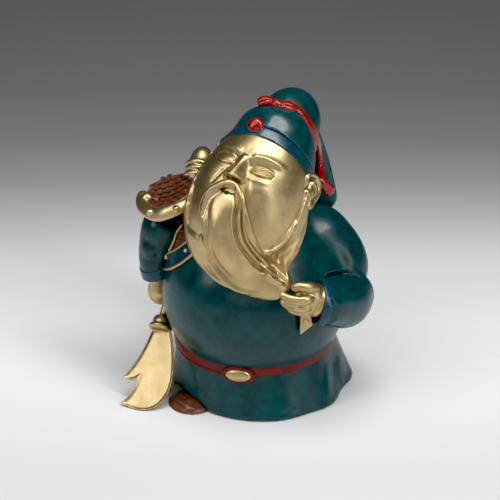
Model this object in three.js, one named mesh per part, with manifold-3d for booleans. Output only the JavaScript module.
// A stout bearded general of legend, cast in brass and painted. One hand strokes the beard; the other holds a
// polearm whose crescent blade rests on the floor and whose shaft slants up behind the shoulder.
// Millimetres, +Z up, the figure facing -Y, its hem standing on z = 0.
import * as THREE from "three";
import { mergeVertices } from "three/addons/utils/BufferGeometryUtils.js";
import Module from "manifold-3d";

const wasm = await Module();
wasm.setup();

// Driving sizes. The figure is drawn 176 units tall, so at this height one unit is one millimetre.
const FIGURE_HEIGHT = 176;
const UNIT = FIGURE_HEIGHT / 176;

const BELT_WIDTH = 7;
const BELT_PROUD = 1.2;
const BELT_TOP = 32;
const BUCKLE_WIDTH = 15;
const BUCKLE_HEIGHT = 9;
const BAND_WIDTH = 5.5;
const BAND_PROUD = 1.1;
const HATBAND_WIDTH = 6;
const HATBAND_PROUD = 1.1;
const STUD_RADIUS = 1.8;
const LEFT_CUFF_RADIUS = 12;
const RIGHT_CUFF_RADIUS = 8.9;
const SLEEVE_WALL = 1.6;
const CUFF_DEPTH = 5;
const SHAFT_RADIUS = 2.3;
const POLE_CLEARANCE = 0.35;
const BLADE_LENGTH = 45;
const BLADE_WIDTH = 27;
const BLADE_THICKNESS = 4.2;
const COLLAR_RADIUS = 6.2;
const POMMEL_RADIUS = 8.6;
const PAD_INSET = 7;
const PAD_PROUD = 0.3;

const units = (n) => n * UNIT;
const vec = (x, y, z) => new THREE.Vector3(x, y, z);
const at = (x, y, z) => vec(x, y, z).multiplyScalar(UNIT);
const UP = vec(0, 0, 1);

// A right-handed frame: across is the figure's left, ahead is where it faces, up is its top.
function frameOf(up, ahead) {
  const top = up.clone().normalize();
  const front = ahead.clone().addScaledVector(top, -ahead.dot(top)).normalize();
  return { across: top.clone().cross(front), ahead: front, up: top };
}
const WORLD = frameOf(UP, vec(0, -1, 0));

const place = (centre, frame, a, f, u) =>
  centre
    .clone()
    .addScaledVector(frame.across, a)
    .addScaledVector(frame.ahead, f)
    .addScaledVector(frame.up, u);

// Solids

function solid(geometry) {
  const bare = geometry.clone();
  bare.deleteAttribute("normal");
  bare.deleteAttribute("uv");
  const merged = mergeVertices(bare, 1e-4);
  return new wasm.Manifold(
    new wasm.Mesh({
      numProp: 3,
      vertProperties: merged.attributes.position.array,
      triVerts: new Uint32Array(merged.index.array),
    }),
  );
}

function sculpt(geometry, move) {
  const points = geometry.attributes.position;
  const point = new THREE.Vector3();
  for (let i = 0; i < points.count; i++) {
    point.fromBufferAttribute(points, i);
    points.setXYZ(i, ...move(point).toArray());
  }
  return solid(geometry);
}

// A sphere's rings run pole to pole along Y: here that pole is the frame's up.
function ellipsoid(centre, [wide, deep, tall], frame = WORLD, [sides, rings] = [12, 8]) {
  const ball = new THREE.SphereGeometry(1, sides, rings);
  return sculpt(ball, (p) => place(centre, frame, p.x * wide, p.z * deep, p.y * tall));
}

function evenly(values, t) {
  const where = t * (values.length - 1);
  const first = Math.min(Math.floor(where), values.length - 2);
  return THREE.MathUtils.lerp(values[first], values[first + 1], where - first);
}

// A limb follows a smooth line. Its section is wide across the line and thick along the reference direction,
// and may be combed into strands.
function limb(points, wides, thicks, { sides = 10, rings = 10, reference = UP, cap = 0.16, comb = 0 } = {}) {
  const line = new THREE.CatmullRomCurve3(points, false, "centripetal");
  const ball = new THREE.SphereGeometry(1, sides, rings);
  return sculpt(ball, (p) => {
    const t = Math.acos(THREE.MathUtils.clamp(p.y, -1, 1)) / Math.PI;
    const reach = Math.min(1, Math.min(t, 1 - t) / cap);
    const round = Math.sqrt(Math.max(0, 1 - (1 - reach) ** 2));
    const angle = Math.atan2(p.z, p.x);
    const tangent = line.getTangent(t);
    const across = reference.clone().cross(tangent).normalize();
    const thick = tangent.clone().cross(across);
    const strand = 1 + comb * Math.cos((angle * sides) / 2);
    return line
      .getPoint(t)
      .addScaledVector(across, Math.cos(angle) * round * evenly(wides, t))
      .addScaledVector(thick, Math.sin(angle) * round * strand * evenly(thicks, t));
  });
}

const tube = (points, radius, options = {}) => limb(points, [radius, radius], [radius, radius], options);

const join = (solids) => solids.reduce((all, next) => all.add(next));

// A large block on the far side of a plane, for cutting away all that lies past the plane.
function beyond(point, normal) {
  const size = 3 * FIGURE_HEIGHT;
  const block = new THREE.BoxGeometry(size, size, size).translate(0, 0, size / 2);
  const turn = new THREE.Quaternion().setFromUnitVectors(UP, normal.clone().normalize());
  block.applyQuaternion(turn).translate(...point.toArray());
  return solid(block);
}

// The torso: belly, chest and left shoulder flow into one another, seen from a core point inside all of them.
const BELLY = { centre: at(3, -3, 58), radii: [units(52.6), units(50.5), units(52.6)] };
const CHEST = { centre: at(-2, 2, 85), radii: [units(47), units(32), units(33)] };
const TORSO_CORE = at(1, 0, 72);
const TORSO_BLEND = units(2.5);

function exitDistance(mass, from, direction) {
  const [wide, deep, tall] = mass.radii;
  const scale = vec(1 / wide, 1 / deep, 1 / tall);
  const start = from.clone().sub(mass.centre).multiply(scale);
  const ray = direction.clone().multiply(scale);
  const a = ray.dot(ray);
  const b = start.dot(ray);
  const c = start.dot(start) - 1;
  return (-b + Math.sqrt(Math.max(0, b * b - a * c))) / a;
}

function torsoPoint(direction, lift = 0) {
  const masses = [BELLY, CHEST].map((mass) => exitDistance(mass, TORSO_CORE, direction));
  const furthest = Math.max(...masses);
  const spread = masses.reduce((sum, d) => sum + Math.exp((d - furthest) / TORSO_BLEND), 0);
  return TORSO_CORE.clone().addScaledVector(direction, furthest + TORSO_BLEND * Math.log(spread) + lift);
}

const torso = () =>
  sculpt(new THREE.SphereGeometry(1, 24, 15), (p) => torsoPoint(vec(p.x, -p.z, p.y).normalize()));

// The skirt below the belt: a lathe whose centre drifts to the left hip as it flares, with soft folds.
const WAIST = { centre: at(2.4, 0, BELT_TOP / UNIT), radius: units(43.8) };
const HEM = { centre: at(7.4, 0, 0), radius: units(52.2) };
const FOLD_DEPTH = units(1.7);
const HEM_ROUND = units(1.2);
const HEM_BOTTOM = vec(0, 0, PAD_PROUD);

function fold(angle, drop) {
  const side = Math.max(0, Math.cos(angle + 0.25)) ** 2;
  const back = Math.max(0, Math.sin(angle));
  return FOLD_DEPTH * drop * (side * (Math.cos(9 * angle + 0.6) - 1) + back * (Math.cos(7 * angle) - 1));
}

function skirt() {
  const top = WAIST.centre.z + units(4);
  const bottom = HEM_BOTTOM.z;
  const profile = [new THREE.Vector2(0, bottom), new THREE.Vector2(HEM.radius - HEM_ROUND, bottom)];
  const levels = 3;
  for (let i = 0; i <= levels; i++) {
    const rise = i / levels;
    const flare = (1 - rise) ** 1.25;
    const radius = THREE.MathUtils.lerp(WAIST.radius, HEM.radius, flare);
    profile.push(new THREE.Vector2(radius, THREE.MathUtils.lerp(bottom + HEM_ROUND, top, rise)));
  }
  profile.push(new THREE.Vector2(0, top));
  return sculpt(new THREE.LatheGeometry(profile, 36), (p) => {
    const drop = 1 - p.y / top;
    const radius = Math.hypot(p.x, p.z);
    const angle = Math.atan2(-p.z, p.x);
    const rim = radius > units(20) ? fold(angle, drop) : 0;
    const drift = THREE.MathUtils.lerp(WAIST.centre.x, HEM.centre.x, drop);
    return vec(drift + (radius + rim) * Math.cos(angle), (radius + rim) * Math.sin(angle), p.y);
  });
}

// The underside is ground flat on a square pad, a hair proud of the hem. The figure stands on its corners.
function groundPad() {
  const side = (HEM.radius - PAD_INSET) * Math.SQRT2;
  const height = PAD_PROUD + units(2);
  const pad = new THREE.BoxGeometry(side, side, height).rotateZ(Math.PI / 4);
  return solid(pad.translate(HEM.centre.x, 0, height / 2));
}

// The belt sits where the belly meets the skirt.
function belt() {
  const middle = BELT_TOP - BELT_WIDTH / 2;
  const section = new THREE.Shape();
  const radius = WAIST.radius + units(0.4);
  section.moveTo(radius - units(6), -BELT_WIDTH / 2);
  section.lineTo(radius + BELT_PROUD, -BELT_WIDTH / 2);
  section.lineTo(radius + BELT_PROUD * 1.4, 0);
  section.lineTo(radius + BELT_PROUD, BELT_WIDTH / 2);
  section.lineTo(radius - units(6), BELT_WIDTH / 2);
  section.closePath();
  const ring = new THREE.LatheGeometry(section.getPoints(), 28);
  const band = sculpt(ring, (p) => vec(WAIST.centre.x + units(0.3) + p.x, -p.z, p.y + middle));
  const front = vec(units(-6), -radius - BELT_PROUD, middle);
  const rim = ellipsoid(front, [BUCKLE_WIDTH / 2 + 1.4, 2, BUCKLE_HEIGHT / 2 + 1.3], WORLD, [10, 5]);
  const plate = ellipsoid(front, [BUCKLE_WIDTH / 2, 3.2, BUCKLE_HEIGHT / 2], WORLD, [10, 5]);
  return [band, rim, plate];
}

// The sleeves are open tubes cut square at the cuff, with the hand coming out of the mouth.
const LEFT_ELBOW = at(55.5, -15, 60);
const LEFT_FOREARM = at(46.5, -38, 67);
const LEFT_WRIST = at(38.5, -47, 72.5);
const LEFT_CUFF_FACING = vec(-0.9, -0.3, 0.3).normalize();
const RIGHT_SHOULDER = at(-45, -3, 103);
const RIGHT_FOREARM = at(-52.8, -4.5, 75);
const RIGHT_WRIST = at(-51.5, -4, 65);
const RIGHT_CUFF_FACING = vec(0.25, 0.1, -0.96).normalize();

function leftSleeve() {
  const upperRadii = [18, 19, 18.5, 17.5, 16].map(units);
  const upper = limb(
    [at(22, 4, 88), at(34, 0, 93), at(45, -1, 85), at(53, -6, 71), LEFT_ELBOW],
    upperRadii,
    upperRadii,
    { sides: 11, rings: 8, cap: 0.4 },
  );
  const past = LEFT_WRIST.clone().addScaledVector(LEFT_CUFF_FACING, units(14));
  const foreRadii = [...[13, 14.5, 13.6, 12.6].map(units), LEFT_CUFF_RADIUS, LEFT_CUFF_RADIUS];
  const fore = limb(
    [at(57, -8, 59), LEFT_ELBOW, at(53, -28, 62), LEFT_FOREARM, LEFT_WRIST, past],
    foreRadii,
    foreRadii,
    { sides: 11, rings: 8 },
  ).subtract(beyond(LEFT_WRIST, LEFT_CUFF_FACING));
  return [upper, fore];
}

function rightSleeve() {
  const past = RIGHT_WRIST.clone().addScaledVector(RIGHT_CUFF_FACING, units(12));
  const radii = [...[11, 9.4, 8.7, 8.7].map(units), RIGHT_CUFF_RADIUS, RIGHT_CUFF_RADIUS];
  return limb(
    [RIGHT_SHOULDER, at(-50, -5, 94), at(-52.6, -5, 84), RIGHT_FOREARM, RIGHT_WRIST, past],
    radii,
    radii,
    { sides: 10, rings: 8, reference: vec(0, 1, 0) },
  ).subtract(beyond(RIGHT_WRIST, RIGHT_CUFF_FACING));
}

// Recesses a sleeve's mouth, leaving the cuff's wall standing round the hand.
function cuffMouth(wrist, facing, forearm, radius) {
  const bottom = wrist.clone().add(forearm.clone().sub(wrist).setLength(CUFF_DEPTH));
  const top = wrist.clone().addScaledVector(facing, CUFF_DEPTH);
  const inner = radius - SLEEVE_WALL;
  return tube([bottom, wrist, top], inner, { sides: 10, rings: 6, cap: 0.2 });
}

// The left hand, its fingers pinching the end of the beard.
const PINCH = at(21.5, -52, 85.5);

function finger(points, radius) {
  return limb(points, [radius, radius * 0.8], [radius, radius * 0.8], { sides: 6, rings: 6, cap: 0.25 });
}

function leftHand() {
  const palm = ellipsoid(at(29, -49.5, 76), [units(9), units(6), units(8)], WORLD, [9, 6]);
  const wrist = tube([at(42, -46, 73), at(31, -50, 76)], units(7.2), { sides: 8, rings: 5 });
  const thumb = finger([at(33, -51, 82), at(27, -54, 85), at(21.5, -53.5, 84.5)], units(2.7));
  const fingers = [0, 1, 2].map((i) =>
    finger(
      [
        at(32 - i, -53 + i * 0.6, 76.5 - i * 3.4),
        at(23 - i * 0.2, -55.5 + i * 0.8, 76.5 - i * 3.6),
        at(15 + i * 3, -52.5 + i * 0.8, 79 - i * 3.6),
      ],
      units(2.7),
    ),
  );
  return [palm, wrist, thumb, ...fingers];
}

// The crescent blade's line, from its foot on the floor up to the pommel behind the right shoulder.
const POLE_FOOT = at(-61.5, -41.5, 0);
const POLE_TOP = at(-28.2, 70, 107);
const POLE = frameOf(POLE_TOP.clone().sub(POLE_FOOT), vec(-0.3, -1, 0.6));
const POLE_LENGTH = POLE_TOP.distanceTo(POLE_FOOT);
const FIST_AT = POLE_FOOT.clone().lerp(POLE_TOP, 0.466);

function rightHand() {
  const outward = vec(-1, -0.1, 0.15).normalize();
  const fist = place(FIST_AT, WORLD, units(-4), units(1), units(0.8));
  const knuckles = ellipsoid(fist, [units(8), units(7.6), units(8)], WORLD, [9, 6]);
  const sleeve = RIGHT_WRIST.clone().addScaledVector(UP, units(2));
  const wrist = tube([sleeve, fist], units(6), { sides: 8, rings: 5, reference: outward });
  return [knuckles, wrist];
}

// The head: an egg, wider below, tilted to its left, thrown back and turned to its right.
const HEAD_CENTRE = at(0.3, -20.2, 120.5);
const HEAD_RADII = { wide: 31, deep: 33, above: 51, below: 45 };
const HEAD_TAPER = (h) => 1 - 0.13 * h - 0.11 * h * h;
const HEAD_SWAY = (h) => 3 * Math.max(0, h) ** 2;
const HEAD_TURN = THREE.MathUtils.degToRad(30);
const HEAD = frameOf(vec(0.34, 0.3, 0.89), vec(-Math.sin(HEAD_TURN), -Math.cos(HEAD_TURN), 0));
const onHead = (a, f, u) => place(HEAD_CENTRE, HEAD, units(a), units(f), units(u));

function eggPoint(p, grown = 0) {
  const { wide, deep, above, below } = HEAD_RADII;
  const taper = HEAD_TAPER(p.y);
  const rise = p.y * ((p.y > 0 ? above : below) + grown);
  return onHead(HEAD_SWAY(p.y) + p.x * (wide * taper + grown), p.z * (deep * taper + grown), rise);
}

const egg = (grown, detail = [18, 13]) =>
  sculpt(new THREE.SphereGeometry(1, ...detail), (p) => eggPoint(p, grown));

// A point on the face, by how far it is across and up from the middle of the head.
function onFace(a, u, lift = 0) {
  const { wide, deep, above, below } = HEAD_RADII;
  const h = u / (u > 0 ? above : below);
  const taper = HEAD_TAPER(h);
  const side = a / (wide * taper);
  const ahead = deep * taper * Math.sqrt(Math.max(0, 1 - h * h - side * side));
  return onHead(a + HEAD_SWAY(h), ahead + lift, u);
}

// The face is a plain one by the rule of thirds: brows, then the base of the nose, between cap and moustache.
const HAIRLINE = 35;
const NOSE_BASE = 10;
const BROWS = (HAIRLINE + NOSE_BASE) / 2 + 1.5;
const EYES = 18;
const EYE_SPREAD = 11;

// An ear's line from top to lobe: how far past the head's half width it stands, ahead of its middle, and up.
const EAR = [[-5, -11, 24], [0, -15, 22], [-1, -13, 13], [-4, -9, 8]];

function head() {
  const nose = limb(
    [onFace(0, BROWS - 3, -0.5), onFace(0, NOSE_BASE + 5, 2), onFace(0, NOSE_BASE + 1, 3)],
    [units(2), units(2.8), units(4.6)],
    [units(1.6), units(2.8), units(3.6)],
    { sides: 6, rings: 6, reference: HEAD.ahead },
  );
  const pairs = [-1, 1].flatMap((side) => [
    limb(
      [
        onFace(side * 4, BROWS - 1, 0.2),
        onFace(side * EYE_SPREAD, BROWS + 1.4, 0.4),
        onFace(side * 18, BROWS - 0.6, 0),
      ],
      [units(1.3), units(1.8), units(0.9)],
      [units(1.1), units(1.5), units(0.8)],
      { sides: 5, rings: 5, reference: HEAD.ahead },
    ),
    ellipsoid(onFace(side * EYE_SPREAD, EYES, -1), [units(5.6), units(2.4), units(2.6)], HEAD, [8, 5]),
    limb(
      EAR.map(([past, f, u]) => onHead(side * (HEAD_RADII.wide + past), f, u)),
      [units(2), units(3.4), units(2.8), units(1.8)],
      [units(3), units(5.5), units(4.5), units(2.2)],
      { sides: 6, rings: 6, reference: HEAD.across },
    ),
  ]);
  return [egg(0), nose, ...pairs];
}

// The cap: a blue band round the brow, a dome over the crown, a taller bun behind it, tied with a red ribbon.
const CAP_LEVEL = onHead(0, 0, 20.1);
const CAP_UP = place(vec(0, 0, 0), HEAD, -0.09, -0.68, 1).normalize();
const HATBAND_TOP = CAP_LEVEL.clone().addScaledVector(CAP_UP, HATBAND_WIDTH);

function cap() {
  const under = beyond(CAP_LEVEL, CAP_UP.clone().negate());
  const above = beyond(HATBAND_TOP, CAP_UP);
  const band = egg(HATBAND_PROUD).subtract(under).subtract(above);
  const dome = egg(HATBAND_PROUD + 1.7).subtract(beyond(HATBAND_TOP, CAP_UP.clone().negate()));
  const bun = ellipsoid(onHead(-1, -16, 42), [units(17.4), units(19), units(22)], HEAD, [14, 10]);
  const flap = limb(
    [at(19, 6, 160), at(23, 12, 144), at(27, 16, 126), at(31, 15, 106)],
    [units(12), units(15), units(17), units(17)],
    [units(5), units(5), units(4), units(3)],
    { sides: 8, rings: 7, reference: vec(0, 1, 0) },
  );
  const jewel = ellipsoid(onFace(-5.5, 38.5, 1.6), [units(4.7), units(3), units(4.7)], HEAD, [8, 5]);
  return [band, dome, bun, flap, jewel];
}

// The ribbon rings the foot of the bun, with a bow at the front and one long end down the left side.
function ribbon() {
  const ring = new THREE.TorusGeometry(1, 0.1, 5, 18);
  const middle = onHead(0, -13.7, 38.6);
  const lean = frameOf(place(vec(0, 0, 0), HEAD, 0, -0.67, 0.74), HEAD.across);
  const loop = sculpt(ring, (p) => place(middle, lean, p.x * units(22.5), p.y * units(21), -p.z * units(16)));
  const end = tube(
    [
      at(20, -5, 170.5),
      at(27, -4, 163),
      at(33, -4, 153),
      at(35.8, -5, 141),
      at(37.5, -2.5, 133),
      at(40.5, 0, 126.6),
      at(44, 3, 120.5),
    ],
    units(2.1),
    { sides: 5, rings: 10, cap: 0.1 },
  );
  const tip = limb(
    [at(43, 2, 121.5), at(45.5, 4, 116.5), at(44.8, 5, 113)],
    [units(2.4), units(3.4), units(3.6)],
    [units(2), units(2), units(1.4)],
    { sides: 6, rings: 6, reference: vec(0, 1, 0) },
  );
  const knot = ellipsoid(at(15.5, -6.5, 171.5), [units(3), units(3), units(2.6)], WORLD, [6, 4]);
  const bows = [at(9, -7.5, 172.8), at(20.5, -5.5, 169.5)].map((centre) =>
    ellipsoid(centre, [units(5.6), units(3), units(3.2)], WORLD, [7, 5]),
  );
  return [loop, end, tip, knot, ...bows];
}

// The beard: a full growth along the jaws, gathered to the hand, and the front lock the moustache frames.
const LOCK_FRONT = vec(-0.15, -1, 0.35).normalize();
const BEARD_GROWTH = 1.8;

function jawBeard() {
  return sculpt(new THREE.SphereGeometry(1, 18, 13), (p) => {
    const round = Math.abs(Math.atan2(p.x, p.z)) - 0.8;
    const cheekEdge = -0.5 + 0.7 * THREE.MathUtils.smoothstep(round, 0, 0.75);
    const grows = THREE.MathUtils.smoothstep(cheekEdge - p.y, -0.04, 0.06);
    return eggPoint(p, THREE.MathUtils.lerp(-BEARD_GROWTH, BEARD_GROWTH, grows));
  });
}

// The growth of both cheeks draws together under the chin and ends in the hand.
function gatheredBeard() {
  const core = limb(
    [at(-3, -36, 104), at(-2, -38, 97), at(1, -41, 92), at(6, -44.5, 88), at(13, -48, 85.5), PINCH],
    [23, 22, 19, 14, 8, 3].map(units),
    [11, 11, 11, 8, 5, 3].map(units),
    { sides: 10, rings: 7, reference: LOCK_FRONT },
  );
  const left = limb(
    [at(28, -28, 121), at(25.5, -34, 111), at(20, -40, 101), at(15.5, -45, 94.5), at(16.5, -49, 89.5), PINCH],
    [3, 4.5, 6, 6, 4.5, 3].map(units),
    [3, 4, 5, 5, 4, 3].map(units),
    { sides: 7, rings: 8, reference: LOCK_FRONT },
  );
  const right = limb(
    [
      at(-32, -27, 117),
      at(-31.5, -34, 105),
      at(-26.5, -40, 95.5),
      at(-17, -46, 87),
      at(-6, -49, 83),
      at(6, -50, 82),
    ],
    [3, 5, 6, 6, 5, 3].map(units),
    [3, 5, 6, 6, 5, 3].map(units),
    { sides: 7, rings: 8, reference: LOCK_FRONT },
  );
  return [core, left, right];
}

function frontLock() {
  const lock = limb(
    [
      onFace(0, 4),
      onFace(3, -5, 0.5),
      onFace(7, -16.5, 1),
      onFace(12, -25, 1),
      at(-4.7, -54.5, 98.8),
      at(4.2, -54, 90),
      at(13.6, -53.5, 85),
      PINCH,
    ],
    [7, 11, 13, 13.4, 12.6, 10, 6.8, 3].map(units),
    [2.5, 3.5, 4.5, 5, 5, 4.5, 4, 3].map(units),
    { sides: 14, rings: 12, reference: LOCK_FRONT, cap: 0.13, comb: 0.1 },
  );
  const tail = limb(
    [at(27, -51, 71), at(28.5, -52, 66), at(31, -51, 60), at(32, -51, 57.5)],
    [units(2), units(2.8), units(4.4), units(5)],
    [units(2), units(2), units(1.8), units(1.2)],
    { sides: 8, rings: 7, reference: vec(0, -1, 0.3).normalize() },
  );
  return [lock, tail];
}

function moustache() {
  return tube(
    [
      at(18, -55, 87.5),
      at(11, -56.5, 93),
      onFace(23, -21, 3.5),
      onFace(18, -12, 3),
      onFace(12, -1.5, 3),
      onFace(7, 5.5, 3),
      onFace(0, 7.5, 3.4),
      onFace(-5.5, 3.5, 3),
      onFace(-7.5, -7, 3),
      onFace(-5, -19, 3),
      onFace(-1, -28, 3.5),
      at(-17, -54.5, 96.5),
      at(-10, -53.5, 87),
      at(-2, -54, 82.5),
      at(7, -54.5, 81),
      at(16, -54, 82.5),
    ],
    units(2),
    { sides: 5, rings: 24, reference: vec(0, -1, 0.3).normalize(), cap: 0.06 },
  );
}

// The armour on the right shoulder, with its rolled gold edge, and the studded border of the robe.
const PAULDRON = frameOf(vec(-0.3, -0.1, 0.95), vec(0, -1, 0));
const PAULDRON_CENTRE = at(-43, -4, 108);

function pauldron() {
  const plate = ellipsoid(PAULDRON_CENTRE, [units(20), units(21), units(13)], PAULDRON, [14, 7]).subtract(
    beyond(PAULDRON_CENTRE, PAULDRON.up.clone().negate()),
  );
  const edge = limb(
    [
      at(-34, -18, 118),
      at(-38.5, -23, 115),
      at(-45, -26, 112.5),
      at(-51, -24, 111),
      at(-57, -17, 110.5),
      at(-60, -9, 111.5),
      at(-59, -4.5, 115.5),
      at(-55.5, -5, 117.5),
    ],
    [1.8, 3, 3.6, 3.6, 3.2, 2.8, 2.4, 2.6].map(units),
    [1.8, 2.6, 3, 3, 2.8, 2.6, 2.4, 2.6].map(units),
    { sides: 6, rings: 12, reference: PAULDRON.up },
  );
  return [plate, edge];
}

const BAND_POINT = at(-50, 0, 72.5);
const BAND_NORMAL = vec(-0.7, 0, 0.7).normalize();

function robeBorder() {
  const grown = sculpt(new THREE.SphereGeometry(1, 24, 15), (p) =>
    torsoPoint(vec(p.x, -p.z, p.y).normalize(), BAND_PROUD),
  );
  const top = BAND_POINT.clone().addScaledVector(BAND_NORMAL, BAND_WIDTH);
  return grown.subtract(beyond(BAND_POINT, BAND_NORMAL.clone().negate())).subtract(beyond(top, BAND_NORMAL));
}

// Gold studs: two on the border of the robe, two on the shoulder edge.
function studs() {
  const spots = [at(-36, -22.5, 92), at(-45, -13, 80), at(-53.5, -25, 110.5), at(-40, -24.5, 113.5)];
  return spots.map((spot) => ellipsoid(spot, [STUD_RADIUS, STUD_RADIUS, STUD_RADIUS], WORLD, [6, 4]));
}

// The right shoe peeps out where the hem lifts.
const TOE = frameOf(UP, vec(-0.72, -0.7, 0));

function shoe() {
  const upper = ellipsoid(at(-29, -33, 1), [units(10.5), units(17), units(11)], TOE, [12, 8]);
  const sole = ellipsoid(at(-29.5, -33.5, 0), [units(11.3), units(18), units(2.4)], TOE, [12, 4]);
  const floor = beyond(HEM_BOTTOM, UP.clone().negate());
  return [upper.subtract(floor), sole.subtract(floor)];
}

// The blade's lowest edge just clears the floor, its face leaning.
const BLADE_LIFT = 2.9;

// The polearm, drawn along its own up axis from the blade's foot.
const onPole = (a, f, u) => place(POLE_FOOT, POLE, a, f, u);

function turned(profile, sides) {
  const shape = new THREE.LatheGeometry(
    profile.map(([r, h]) => new THREE.Vector2(r, h)),
    sides,
  );
  return sculpt(shape, (p) => onPole(p.x, p.z, p.y));
}

function bladeOutline() {
  const at2 = (x, y) => [x * BLADE_WIDTH, y * BLADE_LENGTH];
  const shape = new THREE.Shape();
  shape.moveTo(...at2(0.2, 1.04));
  shape.bezierCurveTo(...at2(0.36, 0.86), ...at2(0.47, 0.62), ...at2(0.5, 0.4));
  shape.bezierCurveTo(...at2(0.52, 0.18), ...at2(0.3, 0), ...at2(0, 0));
  shape.quadraticCurveTo(...at2(-0.24, -0.02), ...at2(-0.42, 0.04));
  shape.quadraticCurveTo(...at2(-0.2, 0.18), ...at2(-0.21, 0.4));
  shape.quadraticCurveTo(...at2(-0.34, 0.34), ...at2(-0.49, 0.4));
  shape.quadraticCurveTo(...at2(-0.25, 0.58), ...at2(-0.14, 1.04));
  shape.closePath();
  return shape;
}

// The bell-shaped collar that grips the blade, from the blade end up.
function collarProfile(grown = 0) {
  const c = COLLAR_RADIUS;
  const steps = [[0.8, 0], [1, 1.6], [0.95, 3], [0.72, 3.6], [0.8, 5], [0.7, 7.5], [0.45, 9]];
  const wall = steps.map(([share, rise]) => [c * share + grown, BLADE_LENGTH + rise]);
  const low = BLADE_LENGTH - grown;
  return [[0, low], [wall[0][0], low], ...wall.slice(1), [0, BLADE_LENGTH + 9]];
}

const rod = (radius, from, to) => turned([[0, from], [radius, from], [radius, to], [0, to]], 10);

function polearm() {
  const plate = new THREE.ExtrudeGeometry(bladeOutline(), {
    depth: BLADE_THICKNESS - 2,
    bevelSize: 1,
    bevelThickness: 1,
    bevelSegments: 1,
    curveSegments: 4,
  });
  plate.translate(0, 0, 1 - BLADE_THICKNESS / 2);
  const blade = sculpt(plate, (p) => onPole(p.x, p.z, p.y + BLADE_LIFT));
  const p = POMMEL_RADIUS;
  const pommelBase = POLE_LENGTH - 16;
  const ring = (base) => [[p * 0.84, base], [p, base + 1.7], [p * 0.84, base + 3.4]];
  const pommel = turned(
    [
      [0, -2],
      [p * 0.5, -2],
      ...ring(0),
      ...ring(3.8),
      ...ring(7.6),
      [p * 0.78, 13],
      [p * 0.72, 17],
      [p * 0.5, 20],
      [p * 0.22, 21.6],
      [0, 22],
    ].map(([r, h]) => [r, h + pommelBase]),
    10,
  );
  const shaft = rod(SHAFT_RADIUS, BLADE_LENGTH + 2, pommelBase + 2);
  return join([blade, turned(collarProfile(), 10), shaft, pommel]);
}

// The room the polearm takes in the robe and the fist.
function polePassage() {
  const bore = rod(SHAFT_RADIUS + POLE_CLEARANCE, BLADE_LENGTH + 5, POLE_LENGTH - 14);
  return bore.add(turned(collarProfile(POLE_CLEARANCE), 10));
}

function figure() {
  const hemArch = ellipsoid(at(-31, -31, 0), [units(12.5), units(26), units(9)], TOE);
  const hem = skirt().subtract(hemArch).add(groundPad());
  const opened = join([torso(), hem, ...belt(), ...leftSleeve(), rightSleeve(), robeBorder()])
    .subtract(cuffMouth(LEFT_WRIST, LEFT_CUFF_FACING, LEFT_FOREARM, LEFT_CUFF_RADIUS))
    .subtract(cuffMouth(RIGHT_WRIST, RIGHT_CUFF_FACING, RIGHT_FOREARM, RIGHT_CUFF_RADIUS));
  const rest = [
    ...leftHand(),
    ...rightHand(),
    ...head(),
    ...cap(),
    ...ribbon(),
    jawBeard(),
    ...gatheredBeard(),
    ...frontLock(),
    moustache(),
    ...pauldron(),
    ...studs(),
    ...shoe(),
  ];
  return join([opened, ...rest]).subtract(polePassage());
}

function mesh(name, form, colour, roughness) {
  const made = form.getMesh();
  const geometry = new THREE.BufferGeometry();
  geometry.setAttribute("position", new THREE.BufferAttribute(new Float32Array(made.vertProperties), 3));
  geometry.setIndex(new THREE.BufferAttribute(new Uint32Array(made.triVerts), 1));
  const material = new THREE.MeshStandardMaterial({ color: colour, roughness, metalness: 0.8 });
  const piece = new THREE.Mesh(geometry, material);
  piece.name = name;
  return piece;
}

const statue = new THREE.Group();
statue.add(mesh("figure", figure(), 0x0d4448, 0.4));
statue.add(mesh("polearm", polearm(), 0xc9ae74, 0.35));

export default statue;
